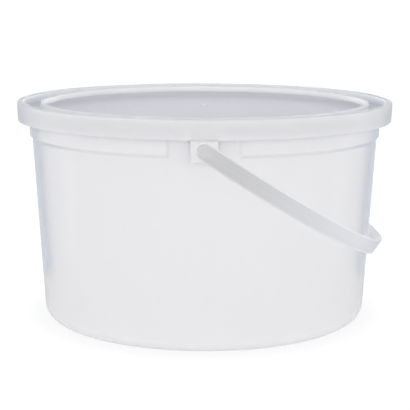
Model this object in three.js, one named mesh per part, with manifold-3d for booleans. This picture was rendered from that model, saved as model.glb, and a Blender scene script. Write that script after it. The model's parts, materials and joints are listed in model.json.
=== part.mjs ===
// A wide, shallow plastic fermenting bucket: a thin-walled pail, a press-on lid
// and a flat strap handle. Millimetres, +Z up. The origin is the centre of the
// base, on the surface that the bucket stands on. The handle hangs towards +X.

import * as THREE from 'three';
import { mergeVertices } from 'three/addons/utils/BufferGeometryUtils.js';
import Module from 'manifold-3d';

const wasm = await Module();
wasm.setup();

// ---- driving dimensions ----------------------------------------------------

const HEIGHT = 184.4;               // base to the top of the lid
const WALL = 1.6;                   // moulded wall of bucket and lid
const GAP = 0.4;                    // clearance between pieces that fit together
const FACETS = 96;                  // sides of every round form about the main axis

// Bucket
const BASE_WALL_R = 136.2;          // outer wall carried down to the floor
const DRAFT = 0.0602;               // outward lean of the wall, mm per mm of height
const FOOT_CORNER_R = 12.3;         // rounded corner between base and wall
const BASE_LIFT = 1.2;              // base panel is raised inside the standing ring
const BASE_PANEL_R = 108;
const COLLAR_Z = 154.4;             // underside of the stacking collar
const COLLAR_R = 147.6;             // outside of the stacking collar
const COLLAR_BEVEL = 1.4;           // height of the slope from wall to collar
const SHOULDER_Z = 168.2;           // where the wall flares out under the lid skirt
const RIM_BASE_Z = 171.4;           // where the upright rim begins
const RIM_R = 155.3;                // outside of the rim

// Ears, one at each side, on the Y axis
const EAR_WIDTH = 20.6;
const EAR_FACE_Y = 156.6;
const EAR_BOTTOM_Z = 152.4;
const EAR_TOP_Z = 171;
const EAR_CORNER_R = 2.2;
const EAR_PLATE = 2.0;
const EAR_CHEEK = 1.8;
const COLLAR_BREAK = 27.8;          // half width of the break in the collar at an ear
const COLLAR_BREAK_SLOPE = 3.2;     // length of the sloping ends of the collar

// Lid
const LID_R = 158;                  // outside of the skirt at the top
const SKIRT_BOTTOM_Z = 168.7;
const SKIRT_BOTTOM_R = 157.3;
const LID_EDGE_R = 2.0;             // rounded outer top edge
const LAND_INNER_R = 152;           // inner edge of the flat rim land
const CHANNEL_Z = 177.0;            // floor of the ring channel
const CHANNEL_OUTER_R = 151.2;
const CHANNEL_INNER_R = 138.8;
const RIDGE_OUTER_R = 138.0;
const RIDGE_INNER_R = 134.6;
const RIDGE_Z = 183.6;
const PANEL_R = 133.8;
const PANEL_Z = 178.4;

// Handle
const PIVOT_Z = 161.2;
const STRAP_WIDTH = 13.6;
const STRAP_THICK = 1.8;
const STRAP_HALF_SPAN = 161.3;      // middle plane to the strap's mid thickness at a pivot
const STRAP_REACH = 178.6;          // pivot axis to the strap's mid thickness at its crown
const STRAP_FULLNESS = 1.9;         // exponent of the strap's curve: 2 is an ellipse, less is leaner
const STRAP_STEPS = 56;             // chords along the strap
const REST_ANGLE = 33.9;            // degrees below level when the handle hangs
const PIN_R = 3.8;
const PIN_HEAD_R = 5.0;
const PIN_HEAD_THICK = 1.6;
const PIN_FACETS = 24;

// ---- materials ---------------------------------------------------------------

function plastic(color, roughness) {
  return new THREE.MeshStandardMaterial({ color, roughness, metalness: 0 });
}

// ---- solids -------------------------------------------------------------------

function toSolid(geometry) {
  const bare = geometry.index ? geometry.toNonIndexed() : geometry.clone();
  bare.deleteAttribute('normal');
  bare.deleteAttribute('uv');
  const merged = mergeVertices(bare, 1e-4);
  return new wasm.Manifold(new wasm.Mesh({
    numProp: 3,
    vertProperties: new Float32Array(merged.attributes.position.array),
    triVerts: new Uint32Array(merged.index.array),
  }));
}

function toMesh(name, solid, material) {
  const { vertProperties, triVerts } = solid.getMesh();
  const geometry = new THREE.BufferGeometry();
  geometry.setAttribute('position', new THREE.BufferAttribute(vertProperties, 3));
  geometry.setIndex(new THREE.BufferAttribute(triVerts, 1));
  geometry.computeVertexNormals();
  const mesh = new THREE.Mesh(geometry, material);
  mesh.name = name;
  return mesh;
}

// Turns an outline of [radius, height] points about the Z axis.
function turned(outline, facets = FACETS) {
  const points = outline.map(([r, z]) => new THREE.Vector2(r, z));
  const geometry = new THREE.LatheGeometry(points, facets);
  geometry.rotateX(Math.PI / 2);
  return toSolid(geometry);
}

// Points of an arc in a turned outline, from one angle to another in degrees.
function arc(r, z, radius, fromDeg, toDeg, steps) {
  const points = [];
  for (let i = 0; i <= steps; i += 1) {
    const angle = THREE.MathUtils.degToRad(fromDeg + (toDeg - fromDeg) * (i / steps));
    points.push([r + radius * Math.cos(angle), z + radius * Math.sin(angle)]);
  }
  return points;
}

// A solid of an XZ outline between two Y planes.
function extrudedAlongY(shape, fromY, toY) {
  const geometry = new THREE.ExtrudeGeometry(shape, { depth: toY - fromY, bevelEnabled: false, curveSegments: 6 });
  geometry.rotateX(Math.PI / 2);
  geometry.translate(0, toY, 0);
  return toSolid(geometry);
}

function rodAlongY(radius, fromY, toY, facets) {
  const geometry = new THREE.CylinderGeometry(radius, radius, toY - fromY, facets);
  geometry.translate(0, (fromY + toY) / 2, 0);
  return toSolid(geometry);
}

function block(sizeX, sizeY, sizeZ, x, y, z) {
  const geometry = new THREE.BoxGeometry(sizeX, sizeY, sizeZ);
  geometry.translate(x, y, z);
  return toSolid(geometry);
}

// ---- bucket ---------------------------------------------------------------------

const RIM_TOP = HEIGHT - WALL - GAP;
const BUILD_MARGIN = 5;             // how far a cutting solid runs past what it cuts

function wallRadius(z) {
  return BASE_WALL_R + DRAFT * z;
}

function baseCorner(inset, floorZ) {
  const radius = FOOT_CORNER_R - inset;
  const centreR = wallRadius(FOOT_CORNER_R) - FOOT_CORNER_R;
  const lean = THREE.MathUtils.radToDeg(Math.atan(DRAFT));
  return arc(centreR, floorZ + radius, radius, -90, -lean, 6);
}

// The pail from outside, solid up to the rim.
function outerOutline(hasCollar) {
  const collarR = hasCollar ? COLLAR_R : wallRadius(SHOULDER_Z);
  const ledgeR = hasCollar ? COLLAR_R : wallRadius(COLLAR_Z + COLLAR_BEVEL);
  return [
    [0, BASE_LIFT],
    [BASE_PANEL_R, BASE_LIFT],
    [BASE_PANEL_R + BASE_LIFT, 0],
    ...baseCorner(0, 0),
    [wallRadius(COLLAR_Z), COLLAR_Z],
    [ledgeR, COLLAR_Z + COLLAR_BEVEL],
    [collarR, SHOULDER_Z],
    [RIM_R, RIM_BASE_Z],
    [RIM_R, RIM_TOP - WALL / 3],
    [RIM_R - WALL / 3, RIM_TOP],
    [0, RIM_TOP],
  ];
}

// The space inside the pail, carried up past the rim.
function innerOutline(hasCollar) {
  const collarR = (hasCollar ? COLLAR_R : wallRadius(SHOULDER_Z)) - WALL;
  const ledgeZ = COLLAR_Z + WALL / 2;
  const ledgeR = (hasCollar ? COLLAR_R : wallRadius(ledgeZ + COLLAR_BEVEL)) - WALL;
  const floorZ = BASE_LIFT + WALL;
  return [
    [0, floorZ],
    ...baseCorner(WALL, floorZ),
    [wallRadius(ledgeZ) - WALL, ledgeZ],
    [ledgeR, ledgeZ + COLLAR_BEVEL],
    [collarR, SHOULDER_Z + WALL / 2],
    [RIM_R - WALL, RIM_BASE_Z + WALL / 2],
    [RIM_R - WALL, RIM_TOP + BUILD_MARGIN],
    [0, RIM_TOP + BUILD_MARGIN],
  ];
}

// Removes the collar beside one ear. Its ends slope back to the wall.
function collarBreak(inset) {
  const nearX = COLLAR_BREAK - COLLAR_BREAK_SLOPE / 2 + inset;
  const farX = COLLAR_BREAK + COLLAR_BREAK_SLOPE / 2 + inset;
  const innerR = wallRadius(COLLAR_Z) - inset;
  const outerR = COLLAR_R - inset;
  const nearY = Math.sqrt(innerR ** 2 - nearX ** 2);
  const farY = Math.sqrt(outerR ** 2 - farX ** 2);
  const plan = new THREE.Shape();
  plan.moveTo(-nearX, COLLAR_R / 2);
  plan.lineTo(nearX, COLLAR_R / 2);
  plan.lineTo(nearX, nearY);
  plan.lineTo(farX, farY);
  plan.lineTo(farX, LID_R);
  plan.lineTo(-farX, LID_R);
  plan.lineTo(-farX, farY);
  plan.lineTo(-nearX, nearY);
  const depth = RIM_TOP + 2 * BUILD_MARGIN - COLLAR_Z;
  const geometry = new THREE.ExtrudeGeometry(plan, { depth, bevelEnabled: false });
  geometry.translate(0, 0, COLLAR_Z - BUILD_MARGIN);
  return toSolid(geometry);
}

// Adds to a solid the same solid turned half round the main axis.
function bothSides(solid) {
  return solid.add(solid.rotate([0, 0, 180]));
}

function vessel(outline, inset) {
  const collared = turned(outline(true)).subtract(bothSides(collarBreak(inset)));
  return turned(outline(false)).add(collared);
}

function earBlock() {
  const half = EAR_WIDTH / 2;
  const face = new THREE.Shape();
  face.moveTo(-half, EAR_TOP_Z);
  face.lineTo(-half, EAR_BOTTOM_Z + EAR_CORNER_R);
  face.absarc(-half + EAR_CORNER_R, EAR_BOTTOM_Z + EAR_CORNER_R, EAR_CORNER_R, Math.PI, 1.5 * Math.PI);
  face.lineTo(half - EAR_CORNER_R, EAR_BOTTOM_Z);
  face.absarc(half - EAR_CORNER_R, EAR_BOTTOM_Z + EAR_CORNER_R, EAR_CORNER_R, 1.5 * Math.PI, 2 * Math.PI);
  face.lineTo(half, EAR_TOP_Z);
  return extrudedAlongY(face, wallRadius(EAR_BOTTOM_Z) - 2 * WALL, EAR_FACE_Y);
}

// The space that the lid's skirt takes up outside the rim.
function skirtSpace() {
  const innerR = SKIRT_BOTTOM_R - WALL - GAP / 2;
  return turned([
    [innerR, SKIRT_BOTTOM_Z - GAP],
    [LID_R + BUILD_MARGIN, SKIRT_BOTTOM_Z - GAP],
    [LID_R + BUILD_MARGIN, HEIGHT],
    [innerR, HEIGHT],
    [innerR, SKIRT_BOTTOM_Z - GAP],
  ]);
}

// The hollow behind the ear plate, open below, and the hole for the handle pin.
function earHollow() {
  const backY = wallRadius(RIM_BASE_Z);
  const plateY = EAR_FACE_Y - EAR_PLATE;
  const topZ = SHOULDER_Z - WALL;
  const bottomZ = EAR_BOTTOM_Z - BUILD_MARGIN;
  const width = EAR_WIDTH - 2 * EAR_CHEEK;
  const centreY = (backY + plateY) / 2;
  const centreZ = (topZ + bottomZ) / 2;
  const pocket = block(width, plateY - backY, topZ - bottomZ, 0, centreY, centreZ);
  const hole = rodAlongY(PIN_R + GAP, plateY - WALL, EAR_FACE_Y + BUILD_MARGIN, PIN_FACETS);
  return pocket.add(hole.translate([0, 0, PIVOT_Z]));
}

function bucketBody() {
  const ears = bothSides(earBlock()).subtract(skirtSpace());
  const outside = vessel(outerOutline, 0).add(ears);
  const hollow = vessel(innerOutline, WALL);
  const body = outside.subtract(hollow).subtract(bothSides(earHollow()));
  return toMesh('bucket', body, plastic('#e9eaea', 0.45));
}

// ---- lid ------------------------------------------------------------------------

function lid() {
  const chamfer = 0.6;
  const channelUnderZ = CHANNEL_Z - WALL;
  const channelWall = RIM_R - WALL - GAP - LAND_INNER_R;
  const outline = [
    [0, PANEL_Z],
    [PANEL_R, PANEL_Z],
    [RIDGE_INNER_R, RIDGE_Z - chamfer],
    [RIDGE_INNER_R + chamfer, RIDGE_Z],
    [RIDGE_OUTER_R - chamfer, RIDGE_Z],
    [RIDGE_OUTER_R, RIDGE_Z - chamfer],
    [CHANNEL_INNER_R, CHANNEL_Z],
    [CHANNEL_OUTER_R, CHANNEL_Z],
    [LAND_INNER_R, HEIGHT],
    ...arc(LID_R - LID_EDGE_R, HEIGHT - LID_EDGE_R, LID_EDGE_R, 90, 0, 5),
    [SKIRT_BOTTOM_R, SKIRT_BOTTOM_Z],
    [SKIRT_BOTTOM_R - WALL + GAP / 2, SKIRT_BOTTOM_Z],
    [LID_R - WALL, HEIGHT - WALL],
    [LAND_INNER_R + channelWall, HEIGHT - WALL],
    [CHANNEL_OUTER_R + channelWall, channelUnderZ],
    [CHANNEL_INNER_R - WALL, channelUnderZ],
    [CHANNEL_INNER_R - 2 * WALL, PANEL_Z - WALL],
    [0, PANEL_Z - WALL],
  ];
  return toMesh('lid', turned(outline.reverse()), plastic('#dfe2e4', 0.4));
}

// ---- handle ----------------------------------------------------------------------

// One face of the strap, lying level: half a near-ellipse from end to end.
function strapCurve(halfSpan, reach) {
  const power = 2 / STRAP_FULLNESS;
  const points = [];
  for (let i = 0; i <= STRAP_STEPS; i += 1) {
    const angle = Math.PI * (i / STRAP_STEPS - 0.5);
    const across = Math.sign(angle) * Math.abs(Math.sin(angle)) ** power;
    points.push(new THREE.Vector2(reach * Math.abs(Math.cos(angle)) ** power, halfSpan * across));
  }
  return points;
}

// The strap from above, with straight ends that run past the pivots.
function strapOutline() {
  const outerSpan = STRAP_HALF_SPAN + STRAP_THICK / 2;
  const innerSpan = STRAP_HALF_SPAN - STRAP_THICK / 2;
  return new THREE.Shape([
    new THREE.Vector2(-STRAP_WIDTH, -outerSpan),
    ...strapCurve(outerSpan, STRAP_REACH + STRAP_THICK / 2),
    new THREE.Vector2(-STRAP_WIDTH, outerSpan),
    new THREE.Vector2(-STRAP_WIDTH, innerSpan),
    ...strapCurve(innerSpan, STRAP_REACH - STRAP_THICK / 2).reverse(),
    new THREE.Vector2(-STRAP_WIDTH, -innerSpan),
  ]);
}

function strapBand() {
  const geometry = new THREE.ExtrudeGeometry(strapOutline(), { depth: 2 * STRAP_WIDTH, bevelEnabled: false });
  geometry.translate(0, 0, -STRAP_WIDTH);
  return toSolid(geometry);
}

// The strap from the side: as wide as the strap, round at the pivot end.
function strapSide() {
  const half = STRAP_WIDTH / 2;
  const side = new THREE.Shape();
  side.moveTo(STRAP_REACH + half, half);
  side.lineTo(0, half);
  side.absarc(0, 0, half, Math.PI / 2, 1.5 * Math.PI);
  side.lineTo(STRAP_REACH + half, -half);
  const span = STRAP_HALF_SPAN + BUILD_MARGIN;
  return extrudedAlongY(side, -span, span);
}

// The pin at one end: a stand-off, a shank through the ear and a snap head behind it.
function handlePin() {
  const headEndY = EAR_FACE_Y - EAR_PLATE - GAP;
  const standOff = rodAlongY(PIN_HEAD_R, EAR_FACE_Y + GAP, STRAP_HALF_SPAN, PIN_FACETS);
  const shank = rodAlongY(PIN_R, headEndY - PIN_HEAD_THICK / 2, STRAP_HALF_SPAN, PIN_FACETS);
  const head = rodAlongY(PIN_HEAD_R, headEndY - PIN_HEAD_THICK, headEndY, PIN_FACETS);
  return standOff.add(shank).add(head);
}

function handle() {
  const strap = strapBand().intersect(strapSide());
  const mesh = toMesh('handle', strap.add(bothSides(handlePin())), plastic('#f2f2f0', 0.4));
  mesh.position.z = PIVOT_Z;
  mesh.rotation.y = THREE.MathUtils.degToRad(REST_ANGLE);
  return mesh;
}

// ---- the object --------------------------------------------------------------------

const fermentingBucket = new THREE.Group();
fermentingBucket.name = 'fermenting_bucket';
fermentingBucket.add(bucketBody(), lid(), handle());

export default fermentingBucket;
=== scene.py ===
"""Looks of a wide plastic fermenting bucket: milky pail, press-on lid and flat white strap handle."""
import json
import math

import bmesh
import bpy
from mathutils import Matrix, Vector


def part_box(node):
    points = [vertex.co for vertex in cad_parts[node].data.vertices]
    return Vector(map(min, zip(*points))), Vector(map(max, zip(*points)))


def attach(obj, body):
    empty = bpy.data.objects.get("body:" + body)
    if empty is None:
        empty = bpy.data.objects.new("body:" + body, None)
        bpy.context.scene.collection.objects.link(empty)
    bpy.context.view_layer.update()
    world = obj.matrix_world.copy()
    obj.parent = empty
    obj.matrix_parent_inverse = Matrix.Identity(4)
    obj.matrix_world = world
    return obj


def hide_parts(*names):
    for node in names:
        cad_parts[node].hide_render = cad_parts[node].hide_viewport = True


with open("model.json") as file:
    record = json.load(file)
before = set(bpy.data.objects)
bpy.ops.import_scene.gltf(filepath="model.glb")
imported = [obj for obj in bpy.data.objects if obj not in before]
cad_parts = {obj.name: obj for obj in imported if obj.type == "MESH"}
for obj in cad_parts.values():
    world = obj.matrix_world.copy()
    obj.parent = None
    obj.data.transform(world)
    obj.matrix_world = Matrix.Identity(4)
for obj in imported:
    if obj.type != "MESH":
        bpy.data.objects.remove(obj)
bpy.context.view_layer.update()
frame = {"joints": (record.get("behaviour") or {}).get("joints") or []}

MM = 0.001

# ---- sizes taken from the CAD model --------------------------------------------------

BUCKET_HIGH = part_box("bucket")[1]
LID_LOW, LID_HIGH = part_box("lid")
JOINTS = {joint["name"]: joint for joint in frame["joints"]}
PIVOT_Z = JOINTS["handle_swing"]["pos_m"][2]

RIM_TOP = BUCKET_HIGH.z
RIM_R = BUCKET_HIGH.x
EAR_FACE_Y = BUCKET_HIGH.y
LID_R = LID_HIGH.x
LID_TOP = LID_HIGH.z
SKIRT_BOTTOM = LID_LOW.z

# ---- sizes of the mouldings ----------------------------------------------------------

WALL = 1.6 * MM
CLEARANCE = 0.4 * MM

BASE_WALL_R = 136.2 * MM
DRAFT = 0.0602  # how much the wall's radius grows with its height
FOOT_CORNER_R = 12.3 * MM
BASE_LIFT = 1.2 * MM
BASE_PANEL_R = 108 * MM
COLLAR_Z = 154.1 * MM
COLLAR_R = 147.6 * MM
COLLAR_BEVEL = 2.3 * MM
COLLAR_BLEND = 0.5 * MM
SHOULDER_Z = 168.2 * MM
RIM_BASE_Z = 171.4 * MM
COLLAR_BREAK = 27.8 * MM  # how far from the middle of each ear the collar's step ends
COLLAR_BREAK_SLOPE = 3.2 * MM
BUCKET_EDGE_R = 0.5 * MM

EAR_WIDTH = 20.6 * MM
EAR_BOTTOM_Z = 152.4 * MM
EAR_TOP_Z = 168.6 * MM
EAR_PLATE = 2.0 * MM
EAR_CHEEK = 1.8 * MM
EAR_EDGE_R = 0.35 * MM

SKIRT_BOTTOM_R = 157.3 * MM
LID_RIM_R = 2.0 * MM
LID_EDGE_R = 0.45 * MM
LIP_HEIGHT = 2.5 * WALL
LAND_INNER_R = 152 * MM
CHANNEL_Z = 177.0 * MM
CHANNEL_OUTER_R = 151.2 * MM
CHANNEL_INNER_R = 138.8 * MM
RIDGE_OUTER_R = 138.0 * MM
RIDGE_INNER_R = 134.6 * MM
RIDGE_Z = 183.6 * MM
PANEL_R = 133.8 * MM
PANEL_Z = 178.4 * MM
GATE_R = 2.6 * MM
GATE_HEIGHT = 1.2 * MM

STRAP_WIDTH = 13.6 * MM
STRAP_THICK = 1.8 * MM
STRAP_HALF_SPAN = 161.3 * MM
STRAP_REACH = 178.6 * MM
STRAP_FULLNESS = 1.9  # 2 is a plain ellipse, and less is leaner
STRAP_EDGE_R = 0.75 * MM
STRAP_RIM_W = 1.5 * MM
STRAP_DISH = 0.15 * MM
STRAP_RIBS = (5.4 * MM, 3.6 * MM)
RIB_HALF_WIDTH = 0.45 * MM
RIB_HEIGHT = 0.1 * MM
REST_ANGLE = math.radians(33.9)
PIN_R = 3.8 * MM
PIN_HEAD_R = 5.0 * MM
PIN_HEAD_THICK = 1.6 * MM
PIN_EDGE_R = 0.4 * MM

# ---- fineness of the meshes ----------------------------------------------------------

TURN_STEPS = 288
PIN_STEPS = 48
BREAK_SPREAD = math.radians(1.2)
BREAK_STEPS = 5
PATH_STEPS = 240
STRAP_STEPS = 220
END_STEPS = 24
STRAP_EDGE_STEPS = 4
MERGE_DISTANCE = 0.001 * MM
SHADED_SHARP = math.radians(32)
ROUNDED_SHARP = math.radians(40)

# ---- camera --------------------------------------------------------------------------

SENSOR_WIDTH = 36
FOCAL_LENGTH = 114.6
FARTHEST_VIEW = 20
CAMERA_SIDE = 0.6 * MM
CAMERA_DISTANCE = 7 * LID_R
CAMERA_HEIGHT = 1.845 * LID_R
CAMERA_PITCH = math.radians(10.18)
CAMERA_ROLL = math.radians(0.23)


def make_camera():
    """The photograph's camera. Its sensor and focal length are in millimetres, as Blender wants them."""
    data = bpy.data.cameras.new("camera")
    data.sensor_width = SENSOR_WIDTH
    data.lens = FOCAL_LENGTH
    data.clip_end = FARTHEST_VIEW
    camera = bpy.data.objects.new("camera", data)
    bpy.context.scene.collection.objects.link(camera)
    camera.matrix_world = (
        Matrix.Translation((CAMERA_SIDE, -CAMERA_DISTANCE, CAMERA_HEIGHT))
        @ Matrix.Rotation(math.pi / 2 - CAMERA_PITCH, 4, "X")
        @ Matrix.Rotation(CAMERA_ROLL, 4, "Z")
    )
    bpy.context.scene.camera = camera


make_camera()


# ---- mesh tools ----------------------------------------------------------------------

def finished_mesh(name, bm):
    """An object made from the bmesh, shaded smooth apart from its sharp edges."""
    bmesh.ops.recalc_face_normals(bm, faces=bm.faces)
    for face in bm.faces:
        face.smooth = True
    for edge in bm.edges:
        edge.smooth = not edge.is_manifold or edge.calc_face_angle(0) < SHADED_SHARP
    mesh = bpy.data.meshes.new(name)
    bm.to_mesh(mesh)
    bm.free()
    piece = bpy.data.objects.new(name, mesh)
    bpy.context.scene.collection.objects.link(piece)
    return piece


def fillet(points, steps):
    """Turns corners (r, z, radius) into arcs. Every corner gives the same number of points."""
    result = []
    for index, (r, z, radius) in enumerate(points):
        here = Vector((r, z))
        if radius == 0:
            result.append(here)
            continue
        before = Vector(points[index - 1][:2]) - here
        after = Vector(points[(index + 1) % len(points)][:2]) - here
        half_angle = before.angle(after) / 2
        reach = radius / math.tan(half_angle)
        inward = (before.normalized() + after.normalized()).normalized()
        centre = here + inward * (radius / math.sin(half_angle))
        start = here + before.normalized() * reach - centre
        end = here + after.normalized() * reach - centre
        sweep = start.angle_signed(end)
        for step in range(steps + 1):
            turn = Matrix.Rotation(-sweep * step / steps, 2)
            result.append(centre + turn @ start)
    return result


def turned(name, outline_at, angles):
    """A surface turned about Z.

    outline_at(angle) gives the (r, z) points from axis to axis at that angle.
    """
    bm = bmesh.new()
    columns = []
    first_outline = outline_at(angles[0])
    start = bm.verts.new((0, 0, first_outline[0][1]))
    end = bm.verts.new((0, 0, first_outline[-1][1]))
    for angle in angles:
        cos = math.cos(angle)
        sin = math.sin(angle)
        columns.append([bm.verts.new((r * cos, r * sin, z)) for r, z in outline_at(angle)[1:-1]])
    for here, after in zip(columns, columns[1:] + columns[:1]):
        bm.faces.new((start, after[0], here[0]))
        bm.faces.new((end, here[-1], after[-1]))
        for low in range(len(here) - 1):
            bm.faces.new((here[low], after[low], after[low + 1], here[low + 1]))
    return finished_mesh(name, bm)


def even_angles(steps=TURN_STEPS):
    return [2 * math.pi * step / steps for step in range(steps)]


def join(pieces, name):
    """One object that holds the meshes of several."""
    bm = bmesh.new()
    for piece in pieces:
        bm.from_mesh(piece.data)
        bpy.data.objects.remove(piece)
    return finished_mesh(name, bm)


def cut_with(piece, cutter):
    cut = piece.modifiers.new("cut", "BOOLEAN")
    cut.operation = "DIFFERENCE"
    cut.solver = "EXACT"
    cut.object = cutter
    apply_modifiers(piece)
    bpy.data.objects.remove(cutter)


def apply_modifiers(piece):
    bpy.context.view_layer.update()
    depsgraph = bpy.context.evaluated_depsgraph_get()
    mesh = bpy.data.meshes.new_from_object(piece.evaluated_get(depsgraph))
    piece.modifiers.clear()
    piece.data = mesh


def round_edges(piece, radius, top):
    """Rounds the sharp edges, apart from those that lie at the top."""
    bm = bmesh.new()
    bm.from_mesh(piece.data)
    sharp = [edge for edge in bm.edges if edge.calc_face_angle(0) > ROUNDED_SHARP
             and min(vert.co.z for vert in edge.verts) < top - radius]
    bmesh.ops.bevel(bm, geom=sharp, offset=radius, segments=3, profile=0.5, affect="EDGES",
                    clamp_overlap=True)
    bm.to_mesh(piece.data)
    bm.free()


def paint(piece, name, value_at):
    """Stores a number from 0 to 1 on every point of the mesh, for its material to read."""
    layer = piece.data.attributes.new(name, "FLOAT", "POINT")
    for index, vert in enumerate(piece.data.vertices):
        layer.data[index].value = value_at(vert.co)


def smoothstep(low, high, value):
    t = min(1, max(0, (value - low) / (high - low)))
    return t * t * (3 - 2 * t)


def from_axis(place):
    return math.hypot(place.x, place.y)


# ---- bucket --------------------------------------------------------------------------

def wall_radius(z):
    return BASE_WALL_R + DRAFT * z


def collar_share(angle):
    """How much of the collar's step stands out at this angle: none beside the ears."""
    across = abs(COLLAR_R * math.cos(angle))
    low = COLLAR_BREAK - COLLAR_BREAK_SLOPE / 2
    return smoothstep(low, low + COLLAR_BREAK_SLOPE, across)


def bucket_outline(angle):
    share = collar_share(angle)

    def collar(z, inset=0.0):
        plain = wall_radius(z) - inset
        return plain + share * (COLLAR_R - inset - plain)

    edge = BUCKET_EDGE_R
    rim_round = 0.45 * WALL
    floor_z = BASE_LIFT + WALL
    blend_z = COLLAR_Z - COLLAR_BLEND
    ledge_z = COLLAR_Z + WALL / 2
    points = [
        (0, BASE_LIFT, 0),
        (BASE_PANEL_R, BASE_LIFT, edge),
        (BASE_PANEL_R + BASE_LIFT, 0, edge),
        (BASE_WALL_R, 0, FOOT_CORNER_R),
        (wall_radius(blend_z), blend_z, 2 * edge),
        (collar(COLLAR_Z + COLLAR_BEVEL), COLLAR_Z + COLLAR_BEVEL, 2 * edge),
        (collar(SHOULDER_Z), SHOULDER_Z, 2 * edge),
        (RIM_R, RIM_BASE_Z, 2 * edge),
        (RIM_R, RIM_TOP, rim_round),
        (RIM_R - WALL, RIM_TOP, rim_round),
        (RIM_R - WALL, RIM_BASE_Z + WALL / 2, 2 * edge),
        (collar(SHOULDER_Z, WALL), SHOULDER_Z + WALL / 2, 2 * edge),
        (collar(ledge_z + COLLAR_BEVEL, WALL), ledge_z + COLLAR_BEVEL, edge),
        (wall_radius(ledge_z) - WALL, ledge_z, edge),
        (BASE_WALL_R - WALL, floor_z, FOOT_CORNER_R - WALL),
        (0, floor_z, 0),
    ]
    return fillet(points, steps=8)


def bucket_angles():
    """Even steps round the pail, with finer ones where the collar ends."""
    edge_angle = math.acos(COLLAR_BREAK / COLLAR_R)
    edges = [edge_angle, math.pi - edge_angle, math.pi + edge_angle, 2 * math.pi - edge_angle]
    angles = [angle for angle in even_angles() if all(abs(angle - edge) > BREAK_SPREAD for edge in edges)]
    for edge in edges:
        angles += [edge + BREAK_SPREAD * (step / BREAK_STEPS - 1) for step in range(2 * BREAK_STEPS + 1)]
    return sorted(angles)


def ear_channel(front, low, high):
    """A front plate and two cheeks that run back into the wall."""
    half = EAR_WIDTH / 2
    back = wall_radius(EAR_BOTTOM_Z) - WALL / 2
    inner = half - EAR_CHEEK
    plate = front - EAR_PLATE
    plan = [(-half, back), (-half, front), (-inner, front), (inner, front), (half, front), (half, back),
            (inner, back), (inner, plate), (-inner, plate), (-inner, back)]
    bm = bmesh.new()
    lower = [bm.verts.new((x, y, low)) for x, y in plan]
    raised = bmesh.ops.extrude_face_region(bm, geom=[bm.faces.new(lower)])
    top = [item for item in raised["geom"] if isinstance(item, bmesh.types.BMVert)]
    bmesh.ops.translate(bm, vec=(0, 0, high - low), verts=top)
    return finished_mesh("ear_channel", bm)


def ear_hole():
    """The cutter for the hole that the handle's pin turns in."""
    hole = bmesh.new()
    bmesh.ops.create_cone(hole, cap_ends=True, segments=PIN_STEPS, radius1=PIN_R + CLEARANCE,
                          radius2=PIN_R + CLEARANCE, depth=4 * EAR_PLATE)
    bmesh.ops.rotate(hole, matrix=Matrix.Rotation(math.pi / 2, 3, "X"), verts=hole.verts)
    bmesh.ops.translate(hole, vec=(0, EAR_FACE_Y, PIVOT_Z), verts=hole.verts)
    return finished_mesh("ear_hole", hole)


def make_ear(side):
    """The pierced ear. A set-back stretch of it runs up inside the lid's skirt."""
    ear = ear_channel(EAR_FACE_Y, EAR_BOTTOM_Z, EAR_TOP_Z)
    cut_with(ear, ear_hole())
    round_edges(ear, EAR_EDGE_R, EAR_TOP_Z)
    ear = join([ear, ear_channel(RIM_R, EAR_TOP_Z - EAR_PLATE, RIM_BASE_Z)], "ear")
    if side < 0:
        ear.data.transform(Matrix.Rotation(math.pi, 4, "Z"))
    return ear


def on_ear(place):
    return abs(place.y) > wall_radius(place.z) + WALL and abs(place.x) < EAR_WIDTH / 2 + WALL


def shaded_cheek_share(place):
    """1 on the ears' cheeks, which are painted a darker blue-grey: painted shade."""
    return float(on_ear(place) and abs(place.x) > EAR_WIDTH / 2 - EAR_EDGE_R and place.z < EAR_TOP_Z)


def shaded_ear_share(place):
    """1 on the ears, which are painted darker as painted shade, since no light from inside the pail reaches
    them.
    """
    return float(on_ear(place))


def painted_glow_share(place):
    """1 where the pail is painted paler, a painted glow that lifts the shade beside the ears, at the
    collar's lower edge and on the shoulder.
    """
    if on_ear(place):
        return 0
    on_collar = place.z > COLLAR_Z + COLLAR_BEVEL
    collar = collar_share(math.atan2(place.y, place.x)) if on_collar else 0
    shoulder = smoothstep(PIVOT_Z, SHOULDER_Z, place.z)
    return (1 - collar * (1 - shoulder)) * smoothstep(COLLAR_Z - 2 * COLLAR_BEVEL, COLLAR_Z, place.z)


def make_bucket():
    shell = turned("shell", bucket_outline, bucket_angles())
    bucket = join([shell, make_ear(1), make_ear(-1)], "bucket_body")
    paint(bucket, "shaded_cheek", shaded_cheek_share)
    paint(bucket, "shaded_ear", shaded_ear_share)
    paint(bucket, "painted_glow", painted_glow_share)
    return bucket


# ---- lid -----------------------------------------------------------------------------

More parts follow.
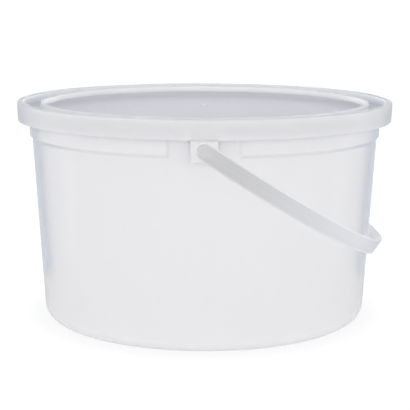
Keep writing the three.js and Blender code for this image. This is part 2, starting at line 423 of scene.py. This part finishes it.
def lid_outline(_angle):
    edge = LID_EDGE_R
    channel_wall = RIM_R - WALL - CLEARANCE - LAND_INNER_R
    channel_under = CHANNEL_Z - WALL
    ridge_round = 0.45 * (RIDGE_OUTER_R - RIDGE_INNER_R)
    points = [
        (0, PANEL_Z + GATE_HEIGHT, 0),
        (GATE_R - edge, PANEL_Z + GATE_HEIGHT, edge / 2),
        (GATE_R, PANEL_Z, edge / 2),
        (GATE_R + 2 * edge, PANEL_Z, 0),
        (PANEL_R - 3 * edge, PANEL_Z, 0),
        (PANEL_R, PANEL_Z, edge),
        (RIDGE_INNER_R, RIDGE_Z, ridge_round),
        (RIDGE_OUTER_R, RIDGE_Z, ridge_round),
        (CHANNEL_INNER_R, CHANNEL_Z, 2 * edge),
        (CHANNEL_OUTER_R, CHANNEL_Z, 2 * edge),
        (LAND_INNER_R, LID_TOP, 2 * edge),
        (LID_R, LID_TOP, LID_RIM_R),
        (SKIRT_BOTTOM_R, SKIRT_BOTTOM, edge / 2),
        (SKIRT_BOTTOM_R - WALL + CLEARANCE / 2, SKIRT_BOTTOM, edge / 2),
        (LID_R - WALL, LID_TOP - WALL, edge),
        (LAND_INNER_R + channel_wall, LID_TOP - WALL, edge),
        (CHANNEL_OUTER_R + channel_wall, channel_under, edge),
        (CHANNEL_INNER_R - WALL, channel_under, edge),
        (CHANNEL_INNER_R - 2 * WALL, PANEL_Z - WALL, edge),
        (0, PANEL_Z - WALL, 0),
    ]
    return fillet(points, steps=6)


def gate_share(place):
    """1 on the gate mark in the middle of the panel, which is painted white: a painted highlight."""
    return float(from_axis(place) < GATE_R)


def lit_raised_share(place):
    """1 on the ridge, on the rim and inside the skirt, which are painted paler than the panel: painted
    light.
    """
    if from_axis(place) > LAND_INNER_R:
        return 1 - shaded_skirt_share(place)
    return smoothstep(PANEL_Z, PANEL_Z + WALL, place.z) * (1 - gate_share(place))


def shaded_channel_share(place):
    """1 in the ring channel between the ridge and the rim, which is painted a bluish grey: painted shade.
    """
    return float(RIDGE_OUTER_R < from_axis(place) < LAND_INNER_R and place.z < RIDGE_Z - WALL)


def shaded_skirt_share(place):
    """1 on the skirt's outer face, which is painted greyer than the rim: painted shade."""
    outside = from_axis(place) > SKIRT_BOTTOM_R - WALL / 2
    return smoothstep(LID_TOP - LID_RIM_R / 4, LID_TOP - LID_RIM_R, place.z) if outside else 0


def shaded_lip_share(place):
    """1 at the skirt's lower edge, apart from the stretch above each ear. It is painted darker there:
    painted shade.
    """
    beside_ear = smoothstep(EAR_WIDTH / 2, EAR_WIDTH, abs(place.x))
    return shaded_skirt_share(place) * beside_ear * smoothstep(SKIRT_BOTTOM + LIP_HEIGHT, SKIRT_BOTTOM, place.z)


def make_lid():
    lid = turned("lid_body", lid_outline, even_angles())
    paint(lid, "gate", gate_share)
    paint(lid, "raised", lit_raised_share)
    paint(lid, "channel", shaded_channel_share)
    paint(lid, "skirt", shaded_skirt_share)
    paint(lid, "lip", shaded_lip_share)
    return lid


# ---- handle --------------------------------------------------------------------------

def strap_point(turn):
    """A point of the strap's middle line, lying level, at a turn from 0 to pi. Gives (reach, across)."""
    power = 2 / STRAP_FULLNESS
    reach = STRAP_REACH * abs(math.sin(turn)) ** power
    across = -STRAP_HALF_SPAN * math.copysign(abs(math.cos(turn)) ** power, math.cos(turn))
    return Vector((reach, across))


def strap_path():
    """The strap's middle line, with straight ends past the pivots.

    Each step of it is (distance along it, point, outward direction).
    """
    overrun = STRAP_WIDTH / 2
    points = [Vector((-overrun, -STRAP_HALF_SPAN))]
    points += [strap_point(math.pi * step / PATH_STEPS) for step in range(PATH_STEPS + 1)]
    points.append(Vector((-overrun, STRAP_HALF_SPAN)))
    path = []
    distance = 0.0
    for index, point in enumerate(points):
        before = points[max(index - 1, 0)]
        after = points[min(index + 1, len(points) - 1)]
        if index > 0:
            distance += (point - before).length
        along = (after - before).normalized()
        path.append((distance, point, Vector((along.y, -along.x))))
    return path


def on_path(path, distance):
    """The point and the outward direction of the path at a distance along it."""
    for here, after in zip(path, path[1:]):
        if distance <= after[0]:
            break
    share = (distance - here[0]) / (after[0] - here[0])
    outward = here[2].lerp(after[2], share).normalized()
    return here[1].lerp(after[1], share), outward


def strap_section():
    """Half of the strap's section as (distance in from the outline, height over the middle surface).

    It runs from the middle of the outer face, with its ribs and raised rim, over the round edge to the
    middle of the plain inner face.
    """
    half_width = STRAP_WIDTH / 2
    half_thick = STRAP_THICK / 2
    floor = half_thick - STRAP_DISH
    section = [(half_width, floor)]
    for inset in STRAP_RIBS:
        section.append((inset + RIB_HALF_WIDTH, floor))
        section.append((inset, floor + RIB_HEIGHT))
        section.append((inset - RIB_HALF_WIDTH, floor))
    section.append((STRAP_RIM_W + STRAP_DISH, floor))
    section.append((STRAP_RIM_W, half_thick))
    turns = [math.pi / 2 * step / STRAP_EDGE_STEPS for step in range(STRAP_EDGE_STEPS + 1)]
    edge = [(STRAP_EDGE_R * (1 - math.sin(turn)), half_thick - STRAP_EDGE_R * (1 - math.cos(turn)))
            for turn in turns]
    section += edge
    section += [(inset, -height) for inset, height in reversed(edge)]
    section.append((half_width, -half_thick))
    return section


def strip_outline(inset, length):
    """The outline (along, across) of a flat strip with round ends, drawn in by the inset."""
    half = STRAP_WIDTH / 2
    reach = half - inset
    straight = [half + (length - 2 * half) * step / STRAP_STEPS for step in range(STRAP_STEPS + 1)]
    turns = [math.pi * step / END_STEPS for step in range(1, END_STEPS)]
    outline = [(along, reach) for along in straight]
    outline += [(length - half + reach * math.sin(turn), reach * math.cos(turn)) for turn in turns]
    outline += [(along, -reach) for along in reversed(straight)]
    outline += [(half - reach * math.sin(turn), -reach * math.cos(turn)) for turn in turns]
    return outline


def make_strap():
    """A flat ribbed strip with round ends, built from rings along its outline, then bent along the path."""
    path = strap_path()
    length = path[-1][0]
    bm = bmesh.new()
    rings = []
    for inset, height in strap_section():
        outline = strip_outline(inset, length)
        rings.append([bm.verts.new((along, across, height)) for along, across in outline])
    for ring, following in zip(rings, rings[1:]):
        for index in range(len(ring)):
            after = (index + 1) % len(ring)
            bm.faces.new((ring[index], ring[after], following[after], following[index]))
    bmesh.ops.remove_doubles(bm, verts=bm.verts, dist=MERGE_DISTANCE)
    for vert in bm.verts:
        along, across, height = vert.co
        point, outward = on_path(path, along)
        place = point + outward * height
        vert.co = (place.x, place.y, across)
    return finished_mesh("strap", bm)


def make_pin(side):
    """A stand-off, a shank through the ear and a snap head, turned about the pivot axis."""
    edge = PIN_EDGE_R
    head_end = EAR_FACE_Y - EAR_PLATE - CLEARANCE
    stand_off = EAR_FACE_Y + CLEARANCE
    points = [
        (0, head_end - PIN_HEAD_THICK, 0),
        (PIN_HEAD_R - PIN_HEAD_THICK / 2, head_end - PIN_HEAD_THICK, edge),
        (PIN_HEAD_R, head_end, edge),
        (PIN_R, head_end, edge / 2),
        (PIN_R, stand_off, edge / 2),
        (PIN_HEAD_R, stand_off, edge),
        (PIN_HEAD_R, STRAP_HALF_SPAN, 0),
        (0, STRAP_HALF_SPAN, 0),
    ]
    outline = fillet(points, steps=3)
    pin = turned("pin", lambda _angle: outline, even_angles(PIN_STEPS))
    pin.data.transform(Matrix.Rotation(-side * math.pi / 2, 4, "X"))
    return pin


# The strap is painted paler towards its reach: painted light there, and painted shade near the pivots.
def reach_light_share(place):
    """From 0 at the pivots to 1 at the strap's farthest reach, for a place on the handle lying level."""
    return smoothstep(0, STRAP_REACH, place.x)


def rim_highlight_share(place):
    """How much painted highlight the strap's rim takes, most at its farthest reach, for a place on the
    handle lying level.
    """
    near_share = 0.35
    centre_distance = math.hypot(min(place.x, 0), place.z)
    rim = smoothstep(STRAP_WIDTH / 2 - STRAP_RIM_W, STRAP_WIDTH / 2 - STRAP_EDGE_R / 2, centre_distance)
    return rim * (near_share + (1 - near_share) * smoothstep(STRAP_REACH / 2, STRAP_REACH, place.x))


def make_handle():
    handle = join([make_strap(), make_pin(1), make_pin(-1)], "handle_strap")
    paint(handle, "along", reach_light_share)
    paint(handle, "edge", rim_highlight_share)
    lean = Matrix.Translation((0, 0, PIVOT_Z)) @ Matrix.Rotation(REST_ANGLE, 4, "Y")
    handle.data.transform(lean)
    return handle


# ---- node tools ----------------------------------------------------------------------

def new_material(name):
    """A new material, and its shader."""
    material = bpy.data.materials.new(name)
    material.use_nodes = True
    return material, material.node_tree.nodes["Principled BSDF"]


def add_node(tree, kind, inputs):
    """A new node. Each of its inputs named here gets a number, or a link from another node's output."""
    node = tree.nodes.new(kind)
    for name, value in inputs.items():
        if isinstance(value, bpy.types.NodeSocket):
            tree.links.new(value, node.inputs[name])
        else:
            node.inputs[name].default_value = value
    return node


def noise(tree, place, pattern):
    """A noise of the pattern (scale, detail)."""
    scale, detail = pattern
    node = add_node(tree, "ShaderNodeTexNoise", {"Vector": place, "Scale": scale, "Detail": detail})
    return node.outputs["Fac"]


def mapped(tree, value, source, target):
    """The value carried over from the source range (low, high) to the target range."""
    ranges = {"From Min": source[0], "From Max": source[1], "To Min": target[0], "To Max": target[1]}
    return add_node(tree, "ShaderNodeMapRange", {"Value": value, **ranges}).outputs["Result"]


def mixed(tree, factor, first, second):
    """A colour between two others. Each of these is an output or an (r, g, b)."""
    node = tree.nodes.new("ShaderNodeMix")
    node.data_type = "RGBA"
    tree.links.new(factor, node.inputs["Factor"])
    for name, colour in (("A", first), ("B", second)):
        if isinstance(colour, tuple):
            node.inputs[name].default_value = (*colour, 1)
        else:
            tree.links.new(colour, node.inputs[name])
    return node.outputs["Result"]


def ramp(tree, value, stops):
    """A colour that follows the value through stops of (position, colour)."""
    node = add_node(tree, "ShaderNodeValToRGB", {"Fac": value})
    elements = node.color_ramp.elements
    while len(elements) < len(stops):
        elements.new(0.5)
    for element, (position, colour) in zip(elements, stops):
        element.position = position
        element.color = (*colour, 1)
    return node.outputs["Color"]


def bump(tree, height, distance):
    return add_node(tree, "ShaderNodeBump", {"Height": height, "Strength": 1.0, "Distance": distance})


def painted(tree, number):
    """The number that paint() stored on the mesh."""
    node = tree.nodes.new("ShaderNodeAttribute")
    node.attribute_name = number
    return node.outputs["Fac"]


# ---- materials -----------------------------------------------------------------------

PLASTIC_IOR = 1.49
WALL_SCATTER = 5 * MM
EAR_SCATTER = 1 * MM
LID_SCATTER = 3 * MM
HANDLE_SCATTER = 1.5 * MM

# Each pattern of the plastic as a noise's (scale, detail), and the range that most of a noise fills.
CLOUDS = (16, 4)
STREAKS = (260, 3)
GLOSS_STREAKS = (420, 4)
FLOW_MARKS = (220, 2)
GRAIN = (2600, 3)
NOISE_RANGE = (0.3, 0.7)

# How dark the clouds and streaks go, how strongly the streaks show, and how far the roughness swings.
CLOUD_SHADE = 0.975
STREAK_SHADE = 0.98
STREAK_SHARE = 0.5
GLOSS_SWING = 0.1


def shaded(colour, share):
    return tuple(share * part for part in colour)


def flow_place(tree, place, turn, stretch):
    """The place as the plastic's flow sees it: turned about Y, and stretched along each axis."""
    flow = tree.nodes.new("ShaderNodeMapping")
    flow.vector_type = "TEXTURE"
    flow.inputs["Rotation"].default_value = (0, turn, 0)
    flow.inputs["Scale"].default_value = stretch
    tree.links.new(place, flow.inputs["Vector"])
    return flow.outputs["Vector"]


def plastic_colour(tree, place, along_flow, colour, tints):
    """Faint clouds, faint streaks along the flow, and each tint where its number is painted."""
    clouds = mapped(tree, noise(tree, place, CLOUDS), NOISE_RANGE, (0, 1))
    streaks = mapped(tree, noise(tree, along_flow, STREAKS), NOISE_RANGE, (0, STREAK_SHARE))
    base = mixed(tree, clouds, shaded(colour, CLOUD_SHADE), colour)
    base = mixed(tree, streaks, base, shaded(colour, STREAK_SHADE))
    for number, tint in tints:
        base = mixed(tree, painted(tree, number), base, tint)
    return base


def plastic_gloss(tree, along_flow, roughness):
    """The roughness, which swings a little in streaks along the flow."""
    swing = ((1 - GLOSS_SWING) * roughness, (1 + GLOSS_SWING) * roughness)
    return mapped(tree, noise(tree, along_flow, GLOSS_STREAKS), NOISE_RANGE, swing)


def plastic_relief(tree, place, along_flow, height):
    """The surface's direction, with flow marks and a fine grain."""
    flow_marks = bump(tree, noise(tree, along_flow, FLOW_MARKS), height)
    grain = bump(tree, noise(tree, place, GRAIN), height)
    tree.links.new(flow_marks.outputs["Normal"], grain.inputs["Normal"])
    return grain.outputs["Normal"]


def moulded_plastic(name, colour, roughness, scatter, flow_turn, flow_stretch, relief, tints):
    """Moulded plastic that light soaks into.

    Its flow marks are turned about Y and stretched along each axis. The relief is the height of its marks
    and grain. Each tint is (painted number, colour): the plastic takes that colour where the number is 1.
    """
    material, shader = new_material(name)
    tree = material.node_tree
    shader.inputs["IOR"].default_value = PLASTIC_IOR
    shader.inputs["Subsurface Weight"].default_value = 1.0
    shader.inputs["Subsurface Radius"].default_value = (1.0, 1.0, 1.0)
    shader.inputs["Subsurface Scale"].default_value = scatter
    place = tree.nodes.new("ShaderNodeTexCoord").outputs["Object"]
    along_flow = flow_place(tree, place, flow_turn, flow_stretch)
    tree.links.new(plastic_colour(tree, place, along_flow, colour, tints), shader.inputs["Base Color"])
    tree.links.new(plastic_gloss(tree, along_flow, roughness), shader.inputs["Roughness"])
    tree.links.new(plastic_relief(tree, place, along_flow, relief), shader.inputs["Normal"])
    return material


def vary_scatter(material, number, low, high):
    """Runs the depth that light soaks in from low to high where the painted number runs from 0 to 1."""
    tree = material.node_tree
    depth = mapped(tree, painted(tree, number), (0, 1), (low, high))
    tree.links.new(depth, tree.nodes["Principled BSDF"].inputs["Subsurface Scale"])


def bucket_plastic():
    material = moulded_plastic(
        "bucket_plastic",
        colour=(0.950, 0.947, 0.970),
        roughness=0.13,
        scatter=WALL_SCATTER,
        flow_turn=0,
        flow_stretch=(1, 1, 20),
        relief=0.003 * MM,
        tints=[
            # Painted glow where the pail lies in shade, and painted shade on the ears and their cheeks.
            ("painted_glow", (0.995, 0.988, 0.993)),
            ("shaded_ear", (0.86, 0.86, 0.87)),
            ("shaded_cheek", (0.82, 0.82, 0.93)),
        ],
    )
    vary_scatter(material, "shaded_ear", WALL_SCATTER, EAR_SCATTER)
    return material


def lid_plastic():
    return moulded_plastic(
        "lid_plastic",
        # The panel's grey is painted shade: the lid is one white plastic, painted darker on its flat panel.
        colour=(0.755, 0.758, 0.778),
        roughness=0.31,
        scatter=LID_SCATTER,
        flow_turn=0,
        flow_stretch=(1, 1, 4),
        relief=0.0006 * MM,
        tints=[
            # Painted highlight on the gate, painted light on the ridge and rim, painted shade in the
            # channel, on the skirt and at its lip.
            ("gate", (1.0, 1.0, 1.0)),
            ("raised", (0.975, 0.98, 0.99)),
            ("channel", (0.89, 0.93, 1.0)),
            ("skirt", (0.86, 0.862, 0.873)),
            ("lip", (0.76, 0.762, 0.775)),
        ],
    )


def handle_plastic():
    return moulded_plastic(
        "handle_plastic",
        # Partly the strap's own grey, and partly painted shade near the pivots.
        colour=(0.66, 0.66, 0.66),
        roughness=0.32,
        scatter=HANDLE_SCATTER,
        flow_turn=REST_ANGLE,
        flow_stretch=(30, 30, 1),
        relief=0.002 * MM,
        tints=[
            # Painted light towards the strap's reach, and a painted highlight on its rim.
            ("along", (0.85, 0.856, 0.88)),
            ("edge", (0.99, 0.99, 0.99)),
        ],
    )


def dress(piece, material, body, node):
    piece.data.materials.clear()
    piece.data.materials.append(material)
    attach(piece, body)
    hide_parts(node)


strap_handle = make_handle()
dress(make_bucket(), bucket_plastic(), "bucket", "bucket")
dress(make_lid(), lid_plastic(), "lid", "lid")
dress(strap_handle, handle_plastic(), "handle", "handle")

# The thin strap lets the soft light past: it leaves no shadow on the glowing wall close behind it.
strap_handle.visible_diffuse = False
strap_handle.visible_shadow = False


# ---- floor and light -----------------------------------------------------------------

FLOOR_HALF = 6
FLOOR_GREY = (0.3, 0.3, 0.3, 1)
FLOOR_ROUGHNESS = 0.9

# The floor's glow near the foot and farther out: the light it gives, and what the camera sees of it.
# Near the foot the light it gives is stronger, painted light on the foot, and what the camera sees is
# dimmer, a painted contact shadow.
CONTACT_R = 128 * MM
CONTACT_FADE = 48 * MM
GIVEN_GLOW = (0.46, 0.375)
SEEN_GLOW = (0.69, 0.85)

# The studio's colours from level (0) to overhead (1): its light, and what glossy surfaces mirror.
FRONT_EXCESS = 0.28
BACKDROP = (1.2, 1.2, 1.2)
LEVEL_LIGHT = (1.93, 1.93, 1.96)
LIGHT_STOPS = [
    (0, LEVEL_LIGHT),
    (0.1, LEVEL_LIGHT),
    (0.4, (0.80, 0.80, 0.82)),
    (1, (0.32, 0.32, 0.33)),
]
LEVEL_MIRRORED = (2.6, 2.6, 2.62)
MIRRORED_STOPS = [
    (0, LEVEL_MIRRORED),
    (0.09, LEVEL_MIRRORED),
    (0.15, (0.24, 0.27, 0.36)),
    (1, (0.2, 0.22, 0.28)),
]

# The cards' corners on the floor, how high they stand, and their colours from front (0) to back (1).
FLAG_BACK = (178 * MM, 135 * MM)
FLAG_FRONT = (312 * MM, -73 * MM)
FLAG_HEIGHT = 320 * MM
FLAG_STOPS = [
    (0, (1.10, 1.11, 1.13)),
    (0.25, (0.62, 0.64, 0.67)),
    (0.47, (0.45, 0.48, 0.54)),
    (0.55, (0.27, 0.33, 0.42)),
    (0.59, (0.02, 0.07, 0.17)),
    (0.70, (0.16, 0.25, 0.38)),
    (0.85, (0.46, 0.54, 0.65)),
    (1, (0.62, 0.67, 0.76)),
]

INNER_POWER = 0.1
INNER_R = 70 * MM
INNER_Z = 0.7 * RIM_TOP

MAX_BOUNCES = 16
DIFFUSE_BOUNCES = 12


def floor_glow_and_shadow(tree):
    """How strongly the floor glows by distance from the bucket's axis: a painted contact shadow, and
    painted light on the foot.
    """
    place = tree.nodes.new("ShaderNodeTexCoord").outputs["Object"]
    distance = tree.nodes.new("ShaderNodeVectorMath")
    distance.operation = "LENGTH"
    tree.links.new(place, distance.inputs["Vector"])
    fade = (CONTACT_R, CONTACT_R + CONTACT_FADE)
    given = mapped(tree, distance.outputs["Value"], fade, GIVEN_GLOW)
    seen = mapped(tree, distance.outputs["Value"], fade, SEEN_GLOW)
    seen_by_camera = tree.nodes.new("ShaderNodeLightPath").outputs["Is Camera Ray"]
    glow = add_node(tree, "ShaderNodeMix", {"Factor": seen_by_camera, "A": given, "B": seen})
    return glow.outputs["Result"]


def make_floor():
    bm = bmesh.new()
    bmesh.ops.create_grid(bm, x_segments=2, y_segments=2, size=FLOOR_HALF)
    floor = finished_mesh("floor", bm)
    material, shader = new_material("floor")
    shader.inputs["Base Color"].default_value = FLOOR_GREY
    shader.inputs["Roughness"].default_value = FLOOR_ROUGHNESS
    shader.inputs["Emission Color"].default_value = (1, 1, 1, 1)
    tree = material.node_tree
    tree.links.new(floor_glow_and_shadow(tree), shader.inputs["Emission Strength"])
    floor.data.materials.append(material)


def soft_light(tree, parts):
    """The studio's light by height, a little stronger in front of the bucket than behind it."""
    facing = mapped(tree, parts.outputs["Y"], (-1, 1), (1 + FRONT_EXCESS, 1 - FRONT_EXCESS))
    light = tree.nodes.new("ShaderNodeVectorMath")
    light.operation = "SCALE"
    tree.links.new(ramp(tree, parts.outputs["Z"], LIGHT_STOPS), light.inputs["Vector"])
    tree.links.new(facing, light.inputs["Scale"])
    return light.outputs["Vector"]


def make_world():
    """A white studio, brightest low down and in front. Mirrors and the camera see colours of their own."""
    world = bpy.data.worlds.new("studio")
    bpy.context.scene.world = world
    world.use_nodes = True
    tree = world.node_tree
    place = tree.nodes.new("ShaderNodeTexCoord").outputs["Generated"]
    parts = add_node(tree, "ShaderNodeSeparateXYZ", {"Vector": place})
    ray = tree.nodes.new("ShaderNodeLightPath")
    mirrored = ramp(tree, parts.outputs["Z"], MIRRORED_STOPS)
    lit = mixed(tree, ray.outputs["Is Glossy Ray"], soft_light(tree, parts), mirrored)
    colour = mixed(tree, ray.outputs["Is Camera Ray"], lit, BACKDROP)
    tree.links.new(colour, tree.nodes["Background"].inputs["Color"])


def make_flag(name, side):
    """A dark card beside the bucket. Only reflections see it. It gives the pale edges their outline."""
    back = Vector((side * FLAG_BACK[0], FLAG_BACK[1], 0))
    front = Vector((side * FLAG_FRONT[0], FLAG_FRONT[1], 0))
    rise = Vector((0, 0, FLAG_HEIGHT))
    bm = bmesh.new()
    bm.faces.new([bm.verts.new(corner) for corner in (back, front, front + rise, back + rise)])
    flag = finished_mesh(name, bm)
    material, shader = new_material(name)
    shader.inputs["Base Color"].default_value = (0, 0, 0, 1)
    shader.inputs["Specular IOR Level"].default_value = 0
    shader.inputs["Emission Strength"].default_value = 1
    tree = material.node_tree
    place = tree.nodes.new("ShaderNodeTexCoord").outputs["Generated"]
    parts = add_node(tree, "ShaderNodeSeparateXYZ", {"Vector": place})
    tree.links.new(ramp(tree, parts.outputs["Y"], FLAG_STOPS), shader.inputs["Emission Color"])
    flag.data.materials.append(material)
    flag.visible_camera = False
    flag.visible_diffuse = False
    flag.visible_transmission = False
    flag.visible_shadow = False


def make_inner_light():
    """The light that soaks through the milky walls and fills the pail."""
    data = bpy.data.lights.new("inner_light", "POINT")
    data.energy = INNER_POWER
    data.shadow_soft_size = INNER_R
    light = bpy.data.objects.new("inner_light", data)
    light.location = (0, 0, INNER_Z)
    light.visible_camera = False
    light.visible_glossy = False
    bpy.context.scene.collection.objects.link(light)


make_floor()
make_inner_light()
make_flag("flag_left", -1)
make_flag("flag_right", 1)
make_world()

# Colours are shown as they are, and light may bounce often enough to fill the white plastic.
bpy.context.scene.view_settings.view_transform = "Standard"
bpy.context.scene.cycles.max_bounces = MAX_BOUNCES
bpy.context.scene.cycles.diffuse_bounces = DIFFUSE_BOUNCES
